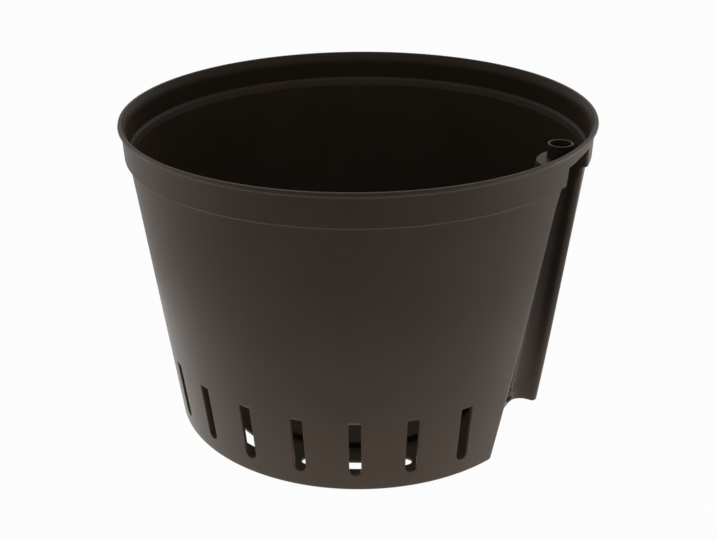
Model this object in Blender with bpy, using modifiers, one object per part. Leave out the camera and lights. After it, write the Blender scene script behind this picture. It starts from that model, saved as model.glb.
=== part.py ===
"""Hydroculture pot: a slotted culture pot with a float gauge in a channel at one side.

Metres, +Z up. The origin is the centre of the base and the gauge channel faces +X.
"""
import math

import bmesh
import bpy

# Moulding: wall, band and lip
POT_HEIGHT = 0.190
RIM_RADIUS = 0.140
LIP_OVERHANG = 0.0019
BAND_TAPER = 0.0006
SHOULDER_STEP = 0.0024
WALL_TAPER = 0.0199
BAND_HEIGHT = 0.0203
SHOULDER_HEIGHT = 0.0013
INNER_SHOULDER_HEIGHT = 0.0036
LIP_HEIGHT = 0.0018
LIP_FLARE = 0.0026
LIP_THICKNESS = 0.0024
LIP_ROUNDING = 0.0005
BASE_ROUNDING = 0.0018
WALL = 0.0022
SEAM_GAP = 0.0003

# Water slots around the foot, on an equal pitch that skips the channel
SLOT_PITCHES = 23
SLOTS_SKIPPED_EACH_SIDE = 1
SLOT_WIDTH = 0.0069
SLOT_BOTTOM = 0.011
SLOT_TOP = 0.0458

# Floor with arc slits, placed by slot pitches from the channel
FLOOR_THICKNESS = 0.0022
FLOOR_RING = 0.0392
CENTRE_RISE = 0.005
SLIT_INSET = 0.0228
SLIT_WIDTH = 0.0087
SLIT_SPAN = math.radians(41)
SLIT_PITCHES = (4, 7, 10)

# Gauge channel in the wall
CHANNEL_DEPTH = 0.0205
CHANNEL_HALF_FOOT = 0.0356
CHANNEL_HALF_TOP = 0.0154
CHANNEL_CORNER_FOOT = 0.008
CHANNEL_CORNER_TOP = 0.0145
MOUTH_CORNER = 0.0028
CHANNEL_SLOT_PLACE = 0.022
CHANNEL_SLOT_WIDTH = 0.007

# Ledge, collar and the notch under the rim
LEDGE_BELOW_RIM = 0.0104
STRIP_HEIGHT = 0.0077
WEB_OVERLAP = 0.0015
COLLAR_RADIUS = 0.0071
COLLAR_WALL = 0.0013
COLLAR_BELOW_RIM = 0.0018
COLLAR_INSET = 0.0022

# Float gauge
TUBE_RADIUS = 0.004
TUBE_WALL = 0.0007
RUN_CLEARANCE = 0.0003
FOOT_HEIGHT = 0.020
FOOT_STANDOFF = 0.0005
FOOT_FLANGE = 0.002
FOOT_SPIGOT = 0.006
FOOT_BORE = 0.0015
HEAD_PLAY = 0.0009
HEAD_FLANGE = 0.0016
HEAD_SPIGOT = 0.008
FLOAT_LENGTH = 0.040
FLOAT_ROUNDING = 0.0012
FLOAT_TRAVEL = 0.040
ROD_RADIUS = 0.0012
ROD_SOCKET = 0.005
ROD_SHOULDER = 0.003
PIN_RADIUS = 0.002
PIN_LENGTH = 0.012

# Facets
POT_STEPS = 100
GAUGE_STEPS = 28
ARC_STEPS = 6
ROUNDING_STEPS = 3
FLARE_STEPS = 3
SLIT_STEPS = 8
CHANNEL_LEVELS = 7
MOUTH_LEVELS = 25
MERGE_DISTANCE = 0.00001
SHARP_ANGLE = math.radians(30)

# Radii, heights and places that follow from the sizes above
BAND_RADIUS = RIM_RADIUS - LIP_OVERHANG
BAND_FOOT_RADIUS = BAND_RADIUS - BAND_TAPER
SHOULDER_RADIUS = BAND_FOOT_RADIUS - SHOULDER_STEP
BASE_RADIUS = SHOULDER_RADIUS - WALL_TAPER
CENTRE_RADIUS = BASE_RADIUS - FLOOR_RING
SLIT_RADIUS = BASE_RADIUS - SLIT_INSET
SHOULDER_Z = POT_HEIGHT - BAND_HEIGHT
BAND_INNER = BAND_FOOT_RADIUS - WALL
LEDGE_TOP = POT_HEIGHT - LEDGE_BELOW_RIM
LEDGE_MIDDLE = LEDGE_TOP - WALL / 2
NOTCH_TOP = POT_HEIGHT - STRIP_HEIGHT
COLLAR_TOP = POT_HEIGHT - COLLAR_BELOW_RIM
COLLAR_BORE = COLLAR_RADIUS - COLLAR_WALL
WEB_RADIUS = BAND_INNER - SEAM_GAP
COLLAR_X = WEB_RADIUS - COLLAR_INSET - COLLAR_RADIUS
SLOT_PITCH = 2 * math.pi / SLOT_PITCHES

# How far a cutter runs past what it cuts
BEYOND = 0.02

# Finishes: colour with alpha, roughness
FINISHES = {
    "pot_plastic": ((0.046, 0.032, 0.0216, 1.0), 0.42),
    "gauge_clear": ((0.85, 0.87, 0.86, 0.3), 0.1),
    "gauge_dark": ((0.02, 0.018, 0.017, 1.0), 0.45),
    "indicator_red": ((0.45, 0.02, 0.015, 1.0), 0.4),
}


def wall_radius(height):
    """Outer radius of the tapered wall."""
    return BASE_RADIUS + (SHOULDER_RADIUS - BASE_RADIUS) * height / SHOULDER_Z


def channel_face(height):
    """Distance of the channel's back face from the pot's axis."""
    return wall_radius(height) - CHANNEL_DEPTH


def channel_half(height):
    """Half the channel's width between its side walls."""
    return CHANNEL_HALF_FOOT + (CHANNEL_HALF_TOP - CHANNEL_HALF_FOOT) * height / LEDGE_TOP


def channel_corner(height):
    """Radius of the channel's corners between its back face and its side walls."""
    share = height / LEDGE_TOP
    return CHANNEL_CORNER_FOOT + (CHANNEL_CORNER_TOP - CHANNEL_CORNER_FOOT) * share


def mouth_angle(height):
    """Angle from +X at which the channel's rounded mouth corner runs into the wall."""
    return math.asin((channel_half(height) + MOUTH_CORNER) / (wall_radius(height) - MOUTH_CORNER))


FOOT_X = channel_face(FOOT_HEIGHT) + FOOT_STANDOFF + TUBE_RADIUS
GAUGE_TILT = math.atan2(COLLAR_X - FOOT_X, LEDGE_MIDDLE - FOOT_HEIGHT)
HEAD_RADIUS = COLLAR_BORE - HEAD_PLAY
TUBE_BORE = TUBE_RADIUS - TUBE_WALL
PLUG_RADIUS = TUBE_BORE - RUN_CLEARANCE

# Stations along the tilted gauge, counted from its foot
HEAD_SEAT_Z = LEDGE_TOP + SEAM_GAP + HEAD_RADIUS * math.sin(GAUGE_TILT)
HEAD_SEAT = (HEAD_SEAT_Z - FOOT_HEIGHT) / math.cos(GAUGE_TILT)
FLOAT_FOOT = FOOT_FLANGE + FOOT_SPIGOT + SEAM_GAP
FLOAT_TOP = FLOAT_FOOT + FLOAT_LENGTH
PIN_TOP = HEAD_SEAT + HEAD_FLANGE
PIN_FOOT = PIN_TOP - PIN_LENGTH
SHOULDER_STOP = HEAD_SEAT - HEAD_SPIGOT - SEAM_GAP - FLOAT_TRAVEL


def arc(centre, radius, start, end, steps=ARC_STEPS):
    """Points of a circular arc, both ends included."""
    angles = [start + (end - start) * i / steps for i in range(steps + 1)]
    return [(centre[0] + radius * math.cos(a), centre[1] + radius * math.sin(a)) for a in angles]


def channel_path(height, inset):
    """Plan of the channel's skin at a height, moved into the pot by inset, from -Y to +Y."""
    half = channel_half(height)
    mouth = (wall_radius(height) - MOUTH_CORNER) * math.cos(mouth_angle(height)), half + MOUTH_CORNER
    corner = channel_corner(height)
    back = channel_face(height) + corner, half - corner
    side = arc(back, corner + inset, math.pi, math.pi / 2)
    side += arc(mouth, MOUTH_CORNER - inset, -math.pi / 2, mouth_angle(height))
    return [(x, -y) for x, y in reversed(side)] + side


def new_object(name, mesh, collection):
    part = bpy.data.objects.new(name, mesh)
    collection.objects.link(part)
    return part


def turned(name, profile, steps, collection, closed=True):
    """Profile of (radius, height) points, outer side downwards first, turned about Z."""
    points = len(profile)
    edges = [(i, (i + 1) % points) for i in range(points if closed else points - 1)]
    mesh = bpy.data.meshes.new(name)
    mesh.from_pydata([(r, 0.0, z) for r, z in profile], edges, [])
    part = new_object(name, mesh, collection)
    screw = part.modifiers.new("turn", "SCREW")
    screw.steps = screw.render_steps = steps
    screw.use_merge_vertices = True
    screw.merge_threshold = MERGE_DISTANCE
    return part


def mesh_object(name, bm, collection):
    """Object from a closed bmesh, with its faces turned outwards."""
    bmesh.ops.recalc_face_normals(bm, faces=bm.faces)
    mesh = bpy.data.meshes.new(name)
    bm.to_mesh(mesh)
    bm.free()
    return new_object(name, mesh, collection)


def loft(name, sections, collection):
    """Closed solid through sections that have equal counts of 3-D points."""
    bm = bmesh.new()
    rings = [[bm.verts.new(point) for point in section] for section in sections]
    for low, high in zip(rings, rings[1:]):
        for i in range(len(low)):
            j = (i + 1) % len(low)
            bm.faces.new((low[i], low[j], high[j], high[i]))
    bm.faces.new(list(reversed(rings[0])))
    bm.faces.new(rings[-1])
    return mesh_object(name, bm, collection)


def prism(name, outline, low, high, collection):
    """Flat outline raised from one height to another."""
    bm = bmesh.new()
    face = bm.faces.new([bm.verts.new((x, y, low)) for x, y in outline])
    raised = bmesh.ops.extrude_face_region(bm, geom=[face])["geom"]
    top = [item for item in raised if isinstance(item, bmesh.types.BMVert)]
    bmesh.ops.translate(bm, verts=top, vec=(0.0, 0.0, high - low))
    return mesh_object(name, bm, collection)


def boolean(part, tool, operation):
    modifier = part.modifiers.new(operation.lower(), "BOOLEAN")
    modifier.operation = operation
    modifier.object = tool
    modifier.solver = "EXACT"


def slot_cutter(name, angle, near, far, offset, width, cutters):
    """Upright slot, round at its bottom, cut from near to far along the direction at an angle from +X."""
    half = width / 2
    outline = [(offset + half, SLOT_TOP), (offset - half, SLOT_TOP)]
    outline += arc((offset, SLOT_BOTTOM + half), half, math.pi, 2 * math.pi)
    cutter = prism(name, outline, near, far, cutters)
    cutter.rotation_euler = math.pi / 2, 0.0, angle + math.pi / 2
    return cutter


def make_pot_wall(parts, cutters, mouth):
    top = SHOULDER_Z - SEAM_GAP
    lower_edge = wall_radius(BASE_ROUNDING) - BASE_ROUNDING, BASE_ROUNDING
    outer = [(wall_radius(top), top)]
    outer += arc(lower_edge, BASE_ROUNDING, 0.0, -math.pi / 2, ROUNDING_STEPS)
    inner = [(wall_radius(0.0) - WALL, 0.0), (wall_radius(top) - WALL, top)]
    wall = turned("pot_wall", outer + inner, POT_STEPS, parts)
    boolean(wall, mouth, "DIFFERENCE")
    near, far = wall_radius(SLOT_BOTTOM) - 2 * WALL, wall_radius(SLOT_TOP) + WALL
    for pitch in range(SLOTS_SKIPPED_EACH_SIDE + 1, SLOT_PITCHES - SLOTS_SKIPPED_EACH_SIDE):
        angle = pitch * SLOT_PITCH
        cutter = slot_cutter(f"slot_cutter_{pitch}", angle, near, far, 0.0, SLOT_WIDTH, cutters)
        boolean(wall, cutter, "DIFFERENCE")
    return wall


def make_rim_band(parts, mouth):
    lip_foot = POT_HEIGHT - LIP_HEIGHT
    band_top = lip_foot - LIP_FLARE
    shoulder_top = SHOULDER_Z + SHOULDER_HEIGHT
    lip_inner = RIM_RADIUS - LIP_THICKNESS
    outer = [(RIM_RADIUS - LIP_ROUNDING, POT_HEIGHT), (RIM_RADIUS, POT_HEIGHT - LIP_ROUNDING),
             (RIM_RADIUS, lip_foot)]
    for step in range(1, FLARE_STEPS + 1):
        share = step / FLARE_STEPS
        flare = RIM_RADIUS + (BAND_RADIUS - RIM_RADIUS) * math.sin(share * math.pi / 2)
        outer.append((flare, lip_foot - LIP_FLARE * share))
    for step in range(FLARE_STEPS + 1):
        share = step / FLARE_STEPS
        ease = (1 - math.cos(share * math.pi)) / 2
        radius = BAND_FOOT_RADIUS + (SHOULDER_RADIUS - BAND_FOOT_RADIUS) * ease
        outer.append((radius, shoulder_top - SHOULDER_HEIGHT * share))
    inner = [(SHOULDER_RADIUS - WALL, SHOULDER_Z), (BAND_INNER, SHOULDER_Z + INNER_SHOULDER_HEIGHT),
             (BAND_INNER, band_top), (lip_inner, lip_foot), (lip_inner, POT_HEIGHT - LIP_ROUNDING),
             (lip_inner + LIP_ROUNDING, POT_HEIGHT)]
    band = turned("rim_band", outer + inner, POT_STEPS, parts)
    boolean(band, mouth, "DIFFERENCE")
    return band


def make_floor_plate(parts, cutters):
    edge = wall_radius(0.0) - WALL - SEAM_GAP
    step_inner = CENTRE_RADIUS - FLOOR_THICKNESS
    centre_top = CENTRE_RISE + FLOOR_THICKNESS
    profile = [(0.0, centre_top), (CENTRE_RADIUS, centre_top), (CENTRE_RADIUS, FLOOR_THICKNESS),
               (edge, FLOOR_THICKNESS), (edge, 0.0), (step_inner, 0.0), (step_inner, CENTRE_RISE),
               (0.0, CENTRE_RISE)]
    floor = turned("floor_plate", profile, POT_STEPS, parts, closed=False)
    outline = channel_path(0.0, WALL + SEAM_GAP)
    reach = wall_radius(0.0) + BEYOND
    outline += [(reach, outline[-1][1]), (reach, outline[0][1])]
    through = -BEYOND, FLOOR_THICKNESS + BEYOND
    boolean(floor, prism("floor_channel_cutter", outline, *through, cutters), "DIFFERENCE")
    half_span = (SLIT_SPAN - SLIT_WIDTH / SLIT_RADIUS) / 2
    for pitch in SLIT_PITCHES + tuple(-p for p in SLIT_PITCHES):
        middle = pitch * SLOT_PITCH
        start, end = middle - half_span, middle + half_span
        ends = [(SLIT_RADIUS * math.cos(a), SLIT_RADIUS * math.sin(a)) for a in (start, end)]
        slit = arc((0.0, 0.0), SLIT_RADIUS + SLIT_WIDTH / 2, start, end, SLIT_STEPS)[:-1]
        slit += arc(ends[1], SLIT_WIDTH / 2, end, end + math.pi)[:-1]
        slit += arc((0.0, 0.0), SLIT_RADIUS - SLIT_WIDTH / 2, end, start, SLIT_STEPS)[:-1]
        slit += arc(ends[0], SLIT_WIDTH / 2, start + math.pi, start + 2 * math.pi)[:-1]
        cutter = prism(f"slit_cutter_{pitch}", slit, *through, cutters)
        boolean(floor, cutter, "DIFFERENCE")
    return floor


def make_gauge_channel(parts, cutters):
    top = LEDGE_TOP - WALL - SEAM_GAP
    sections = []
    for level in range(CHANNEL_LEVELS):
        height = top * level / (CHANNEL_LEVELS - 1)
        plan = channel_path(height, 0.0) + list(reversed(channel_path(height, WALL)))
        sections.append([(x, y, height) for x, y in plan])
    channel = loft("gauge_channel", sections, parts)
    near = channel_face(SLOT_BOTTOM) - 2 * WALL
    far = channel_face((SLOT_BOTTOM + SLOT_TOP) / 2) + CHANNEL_CORNER_FOOT
    for place, word in ((CHANNEL_SLOT_PLACE, "left"), (-CHANNEL_SLOT_PLACE, "right")):
        name = f"channel_slot_cutter_{word}"
        cutter = slot_cutter(name, 0.0, near, far, place, CHANNEL_SLOT_WIDTH, cutters)
        boolean(channel, cutter, "DIFFERENCE")
    return channel


def make_gauge_collar(parts, cutters):
    """Ledge with a web behind the notch and an upright collar, bored down to the tube's hole."""
    angle = mouth_angle(LEDGE_MIDDLE) + WALL / WEB_RADIUS
    edge = arc((0.0, 0.0), WEB_RADIUS, angle, -angle)
    inner_edge = arc((0.0, 0.0), WEB_RADIUS - COLLAR_WALL, -angle, angle)
    ledge = channel_path(LEDGE_MIDDLE, WALL) + edge
    collar = prism("gauge_collar", ledge, LEDGE_TOP - WALL, LEDGE_TOP, parts)
    web = prism("web", edge + inner_edge, LEDGE_MIDDLE, NOTCH_TOP + WEB_OVERLAP, cutters)
    boolean(collar, web, "UNION")
    ring = [(0.0, COLLAR_TOP), (COLLAR_RADIUS, COLLAR_TOP), (COLLAR_RADIUS, LEDGE_MIDDLE),
            (0.0, LEDGE_MIDDLE)]
    hole = TUBE_RADIUS / math.cos(GAUGE_TILT) + WALL / 2 * math.tan(GAUGE_TILT) + RUN_CLEARANCE
    bore = [(0.0, COLLAR_TOP + BEYOND), (COLLAR_BORE, COLLAR_TOP + BEYOND), (COLLAR_BORE, LEDGE_TOP),
            (hole, LEDGE_TOP), (hole, LEDGE_TOP - BEYOND), (0.0, LEDGE_TOP - BEYOND)]
    for name, profile, operation in (("collar_ring", ring, "UNION"), ("collar_bore", bore, "DIFFERENCE")):
        tool = turned(name, profile, GAUGE_STEPS, cutters, closed=False)
        tool.location.x = COLLAR_X
        boolean(collar, tool, operation)
    return collar


def rounded_rod(radius, low, high, rounding):
    """Profile of a solid round bar with rounded ends."""
    top = arc((radius - rounding, high - rounding), rounding, math.pi / 2, 0.0, ROUNDING_STEPS)
    bottom = arc((radius - rounding, low + rounding), rounding, 0.0, -math.pi / 2, ROUNDING_STEPS)
    return [(0.0, high)] + top + bottom + [(0.0, low)]


def make_gauge(parts):
    """Tube, head and foot, then the float, rod and pin, all about the gauge's own Z."""
    tube = [(TUBE_RADIUS, HEAD_SEAT - SEAM_GAP), (TUBE_RADIUS, FOOT_FLANGE + SEAM_GAP),
            (TUBE_BORE, FOOT_FLANGE + SEAM_GAP), (TUBE_BORE, HEAD_SEAT - SEAM_GAP)]
    guide = PIN_RADIUS + RUN_CLEARANCE
    head = [(HEAD_RADIUS, HEAD_SEAT + HEAD_FLANGE), (HEAD_RADIUS, HEAD_SEAT), (PLUG_RADIUS, HEAD_SEAT),
            (PLUG_RADIUS, HEAD_SEAT - HEAD_SPIGOT), (guide, HEAD_SEAT - HEAD_SPIGOT),
            (guide, HEAD_SEAT + HEAD_FLANGE)]
    foot = [(PLUG_RADIUS, FOOT_FLANGE + FOOT_SPIGOT), (PLUG_RADIUS, FOOT_FLANGE), (TUBE_RADIUS, FOOT_FLANGE),
            (TUBE_RADIUS, 0.0), (FOOT_BORE, 0.0), (FOOT_BORE, FOOT_FLANGE + FOOT_SPIGOT)]
    socket = ROD_RADIUS + SEAM_GAP
    float_body = rounded_rod(PLUG_RADIUS, FLOAT_FOOT, FLOAT_TOP, FLOAT_ROUNDING)
    float_body = [(socket, FLOAT_TOP - ROD_SOCKET), (socket, FLOAT_TOP)] + float_body[1:]
    float_body = [(0.0, FLOAT_TOP - ROD_SOCKET)] + float_body
    rod_low = FLOAT_TOP - ROD_SOCKET + SEAM_GAP
    rod_high = PIN_FOOT + ROD_SOCKET - SEAM_GAP
    rod = [(0.0, rod_high), (ROD_RADIUS, rod_high), (ROD_RADIUS, SHOULDER_STOP), (PLUG_RADIUS, SHOULDER_STOP),
           (PLUG_RADIUS, SHOULDER_STOP - ROD_SHOULDER), (ROD_RADIUS, SHOULDER_STOP - ROD_SHOULDER),
           (ROD_RADIUS, rod_low), (0.0, rod_low)]
    pin = rounded_rod(PIN_RADIUS, PIN_FOOT, PIN_TOP, PIN_RADIUS / 2)
    pin = [point for point in pin if point[1] > PIN_FOOT + PIN_RADIUS]
    pin += [(PIN_RADIUS, PIN_FOOT), (socket, PIN_FOOT), (socket, PIN_FOOT + ROD_SOCKET),
            (0.0, PIN_FOOT + ROD_SOCKET)]
    fixed = {"gauge_tube": (tube, True), "gauge_head": (head, True), "gauge_foot": (foot, True)}
    moving = {"gauge_float": (float_body, False), "float_rod": (rod, False), "indicator_pin": (pin, False)}
    pieces = {}
    for axis_name, group in (("gauge_axis", fixed), ("float_axis", moving)):
        axis = new_object(axis_name, None, parts)
        axis.location = FOOT_X, 0.0, FOOT_HEIGHT
        axis.rotation_euler.y = GAUGE_TILT
        for name, (profile, closed) in group.items():
            pieces[name] = turned(name, profile, GAUGE_STEPS, parts, closed)
            pieces[name].parent = axis
    return pieces


def make_mouth_cutter(cutters):
    """Wedge through wall and band between the channel's mouth corners, up to the notch's top."""
    sections = []
    for level in range(MOUTH_LEVELS):
        height = -WALL + (NOTCH_TOP + WALL) * level / (MOUTH_LEVELS - 1)
        angle = mouth_angle(height) + SEAM_GAP / wall_radius(height)
        near, far = wall_radius(height) - 2 * WALL, RIM_RADIUS + WALL
        corners = [(near, -angle), (far, -angle), (far, angle), (near, angle)]
        sections.append([(r * math.cos(a), r * math.sin(a), height) for r, a in corners])
    return loft("mouth_cutter", sections, cutters)


def finish_material(name, colour, roughness):
    material = bpy.data.materials.new(name)
    material.use_nodes = True
    shader = material.node_tree.nodes["Principled BSDF"]
    shader.inputs["Base Color"].default_value = colour
    shader.inputs["Alpha"].default_value = colour[3]
    shader.inputs["Roughness"].default_value = roughness
    shader.inputs["Metallic"].default_value = 0.0
    return material


def apply_and_shade(part):
    """Replace the object's mesh by its evaluated form, smooth except at real edges."""
    depsgraph = bpy.context.evaluated_depsgraph_get()
    mesh = bpy.data.meshes.new_from_object(part.evaluated_get(depsgraph))
    part.modifiers.clear()
    part.data = mesh
    mesh.shade_smooth()
    mesh.set_sharp_from_angle(angle=SHARP_ANGLE)


def main():
    for old in list(bpy.data.objects):
        bpy.data.objects.remove(old)
    parts = bpy.data.collections.new("hydroculture_pot")
    cutters = bpy.data.collections.new("cutters")
    for collection in (parts, cutters):
        bpy.context.scene.collection.children.link(collection)

    mouth = make_mouth_cutter(cutters)
    moulding = [make_pot_wall(parts, cutters, mouth), make_rim_band(parts, mouth),
                make_floor_plate(parts, cutters), make_gauge_channel(parts, cutters),
                make_gauge_collar(parts, cutters)]
    gauge = make_gauge(parts)
    for tool in cutters.objects:
        tool.hide_render = True
        tool.display_type = "WIRE"

    finishes = {name: finish_material(name, *finish) for name, finish in FINISHES.items()}
    gauge_finish = {"gauge_tube": "gauge_clear", "indicator_pin": "indicator_red"}
    bpy.context.view_layer.update()
    for part in moulding:
        apply_and_shade(part)
        part.data.materials.append(finishes["pot_plastic"])
    for name, part in gauge.items():
        apply_and_shade(part)
        part.data.materials.append(finishes[gauge_finish.get(name, "gauge_dark")])


main()
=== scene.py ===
"""Looks of the hydroculture pot: one moulded skin, its gauge collar and the float gauge in its channel.

Metres, +Z up. The origin is the centre of the base and the gauge channel faces +X, as in the CAD frame.
"""
import math

import bmesh
import bpy
from mathutils import Matrix, Vector


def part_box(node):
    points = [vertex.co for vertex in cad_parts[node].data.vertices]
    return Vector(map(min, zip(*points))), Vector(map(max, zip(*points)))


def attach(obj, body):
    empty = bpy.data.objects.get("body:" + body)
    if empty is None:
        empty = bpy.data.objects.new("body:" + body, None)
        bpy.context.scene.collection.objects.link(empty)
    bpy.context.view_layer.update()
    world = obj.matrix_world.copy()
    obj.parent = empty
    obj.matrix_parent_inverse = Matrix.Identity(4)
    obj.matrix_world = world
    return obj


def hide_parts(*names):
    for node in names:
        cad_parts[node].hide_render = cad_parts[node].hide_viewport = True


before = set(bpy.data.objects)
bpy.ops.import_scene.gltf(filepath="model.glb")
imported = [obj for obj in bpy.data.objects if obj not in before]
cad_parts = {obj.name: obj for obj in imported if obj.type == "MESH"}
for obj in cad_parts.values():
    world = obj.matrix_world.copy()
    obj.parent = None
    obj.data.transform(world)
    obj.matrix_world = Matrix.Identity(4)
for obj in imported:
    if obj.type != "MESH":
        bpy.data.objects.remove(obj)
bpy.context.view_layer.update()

# Overall sizes, from the CAD frame
POT_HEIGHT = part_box("rim_band")[1].z
RIM_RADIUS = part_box("rim_band")[1].y
SHOULDER_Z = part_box("rim_band")[0].z
COLLAR_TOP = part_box("gauge_collar")[1].z

# Moulded skin
WALL = 0.0022
LIP_OVERHANG = 0.0019
BAND_TAPER = 0.0006
SHOULDER_STEP = 0.0024
WALL_TAPER = 0.0199
SHOULDER_HEIGHT = 0.0013
LIP_HEIGHT = 0.0018
LIP_FLARE = 0.0026
INNER_FLARE = 0.0064
LIP_THICKNESS = 0.0024
LIP_TAPER = 0.00025
LIP_ROUNDING = 0.0005
LIP_EDGE = 0.00035
BASE_ROUNDING = 0.0018
PARTING_HEIGHT = 0.00030
PARTING_WIDTH = 0.0012
STEP_LOW = 0.1681
STEP_EDGE = 0.1714
STEP_HIGH = 0.1731
STEP_LEDGE = 0.0014
STEP_ROUNDING = 0.0002

# Water slots
SLOT_PITCHES = 23
SLOTS = 20
SLOT_WIDTH = 0.0069
SLOT_BOTTOM = 0.011
SLOT_TOP = 0.0458
SLOT_TOP_RISE = 0.0028
SLOT_MARGIN = 0.0020
EDGE_ROUNDING = 0.0004

# Floor
FLOOR_THICKNESS = 0.0022
FLOOR_RING = 0.0392
FLOOR_FILLET = 0.001
CENTRE_RISE = 0.005
SLIT_INSET = 0.0228
SLIT_WIDTH = 0.0087
SLIT_SPAN = math.radians(41)
SLIT_PITCHES = 3
SLITS = 6

# Gauge channel, ledge and collar
CHANNEL_DEPTH = 0.0205
CHANNEL_HALF_FOOT = 0.0356
CHANNEL_HALF_TOP = 0.0154
CHANNEL_CORNER_FOOT = 0.008
CHANNEL_CORNER_TOP = 0.0145
MOUTH_CORNER = 0.0028
NOTCH_CORNER = 0.0015
NOTCH_CORNER_LOW = 0.158
CHANNEL_SLOT_SHARE = 0.39
CHANNEL_SLOT_WIDTH = 0.007
LEDGE_BELOW_RIM = 0.0104
LEDGE_THICKNESS = 0.0014
LEDGE_ROUNDING = 0.0006
STRIP_HEIGHT = 0.0077
WEB_THICKNESS = 0.0013
WEB_OUTER = 0.1347
WEB_RISE = 0.0015
COLLAR_RADIUS = 0.0071
COLLAR_WALL = 0.0013
COLLAR_INSET = 0.0022
COLLAR_FILLET = 0.0006
SEAM_GAP = 0.0003
LEDGE_BORE_PLAY = 0.0005

# Float gauge
TUBE_RADIUS = 0.004
TUBE_WALL = 0.0007
RUN_CLEARANCE = 0.0003
FOOT_HEIGHT = 0.020
FOOT_STANDOFF = 0.0005
FOOT_FLANGE = 0.002
FOOT_SPIGOT = 0.006
FOOT_BORE = 0.0015
HEAD_PLAY = 0.0009
HEAD_FLANGE = 0.0016
HEAD_SPIGOT = 0.008
FLOAT_LENGTH = 0.040
FLOAT_ROUNDING = 0.0012
FLOAT_TRAVEL = 0.040
ROD_RADIUS = 0.0012
ROD_SOCKET = 0.005
ROD_SHOULDER = 0.003
PIN_RADIUS = 0.002
PIN_LENGTH = 0.012
SMALL_EDGE = 0.00025

# How finely the skin is divided
COLUMNS_PER_PITCH = 16
SLOT_PATCH_COLUMNS = 8
SLOT_PATCH_ROWS = 14
SLIT_PATCH_ROWS = 8
ROUND_STEPS = 4
FLARE_STEPS = 8
WALL_STEPS = 8
RING_STEPS = 4
WALL_COLUMNS, MOUTH_COLUMNS, LIP_COLUMNS, SIDE_COLUMNS = 12, 6, 2, 5
CORNER_COLUMNS, CHANNEL_SLOT_COLUMNS, BACK_COLUMNS = 6, 12, 4
TURN_STEPS = 72
ROWS_UNDER_PATCH = 2
ROWS_OVER_PATCH = 1
ROUNDING_SHARE = 0.45
WELD = 0.00001

# Painted shade in the gauge channel, a darker base colour in place of its shadow: how deep and how high up
# it begins and is full, how much it darkens, and how far behind the channel's faces it is still full and
# has ended, in wall thicknesses
SHADE_DEPTH_START = 0.0005
SHADE_DEPTH_END = 0.0060
SHADE_FOOT = 0.025
SHADE_TOP = 0.110
PAINTED_SHADE_SHARE = 0.80
BEHIND_FULL = 0.1
BEHIND_ENDED = 0.6

# Linear colours
BROWN = (0.043, 0.0297, 0.0200, 1.0)
BROWN_CLOUD = (0.049, 0.0340, 0.0232, 1.0)
BROWN_STREAK = (0.052, 0.037, 0.026, 1.0)
BROWN_WORN = (0.075, 0.060, 0.050, 1.0)
# Painted shade: the near-black brown that the gauge channel's upper faces are darkened towards
BROWN_PAINTED_SHADE = (0.011, 0.0076, 0.0052, 1.0)
CLEAR = (0.30, 0.31, 0.31, 1.0)
CLEAR_LINE = (0.42, 0.43, 0.43, 1.0)
BLACK = (0.016, 0.0145, 0.0135, 1.0)
BLACK_CLOUD = (0.024, 0.0215, 0.0200, 1.0)
RED = (0.40, 0.016, 0.012, 1.0)
RED_CLOUD = (0.50, 0.030, 0.022, 1.0)
FLOOR_GREY = (0.88, 0.88, 0.88, 1.0)
WHITE = (1.0, 1.0, 1.0, 1.0)

# Patterns of the finishes, per metre, and the depth of their relief
POT_CLOUDS, POT_RUBS, POT_GRAIN = 22.0, 260.0, 2600.0
POT_STREAKS = (420.0, 420.0, 9.0)
POT_RELIEF = 0.00004
CLEAR_LINES = (1400.0, 1400.0, 18.0)
DARK_CLOUDS, DARK_GRAIN = 160.0, 2200.0
DARK_RELIEF = 0.00003
RED_CLOUDS, RED_GRAIN = 320.0, 2400.0
RED_RELIEF = 0.00002
CLEAR_IOR = 1.49

# The photograph's view
CAMERA_AZIMUTH = math.radians(28.9)
CAMERA_FACING = math.radians(28.965)
CAMERA_DISTANCE = 0.6458
CAMERA_HEIGHT = 0.3837
CAMERA_PITCH = math.radians(24.811)
CAMERA_ROLL = math.radians(-0.482)
CAMERA_LENS = 56.74
SENSOR_WIDTH = 36.0

# Studio
FLOOR_REACH = 6.0
FLOOR_WHITE = 0.97
WORLD_LIGHT = 0.12
STRIP_LEVEL = 0.10
STRIP_REACH = 0.75
STRIP_LENGTH = 1.1
STRIP_RISE = 0.18
STRIP_TURN = math.radians(12)
LEFT_POWER = 2.4
RIGHT_POWER = 3.4
TOP_LEVEL = 1.5
TOP_SIZE = 1.2
TOP_POWER = 3.2
TABLE_LEVEL = 0.0004
TABLE_SIZE = 0.48
TABLE_POWER = 0.54

# Places that follow from the sizes
BAND_RADIUS = RIM_RADIUS - LIP_OVERHANG
BAND_FOOT_RADIUS = BAND_RADIUS - BAND_TAPER
SHOULDER_RADIUS = BAND_FOOT_RADIUS - SHOULDER_STEP
BASE_RADIUS = SHOULDER_RADIUS - WALL_TAPER
BAND_INNER = BAND_FOOT_RADIUS - WALL
BAND_FOOT = SHOULDER_Z + SHOULDER_HEIGHT
LIP_INNER = RIM_RADIUS - LIP_THICKNESS
LIP_TOP = POT_HEIGHT - LIP_ROUNDING
LIP_FOOT = POT_HEIGHT - LIP_HEIGHT
BAND_TOP = LIP_FOOT - LIP_FLARE
LEDGE_TOP = POT_HEIGHT - LEDGE_BELOW_RIM
LEDGE_FOOT = LEDGE_TOP - LEDGE_THICKNESS
LEDGE_MIDDLE = LEDGE_TOP - WALL / 2
NOTCH_TOP = POT_HEIGHT - STRIP_HEIGHT
CENTRE_RADIUS = BASE_RADIUS - FLOOR_RING
CENTRE_TOP = CENTRE_RISE + FLOOR_THICKNESS
SLIT_RADIUS = BASE_RADIUS - SLIT_INSET
SLOT_PITCH = 2 * math.pi / SLOT_PITCHES
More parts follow.
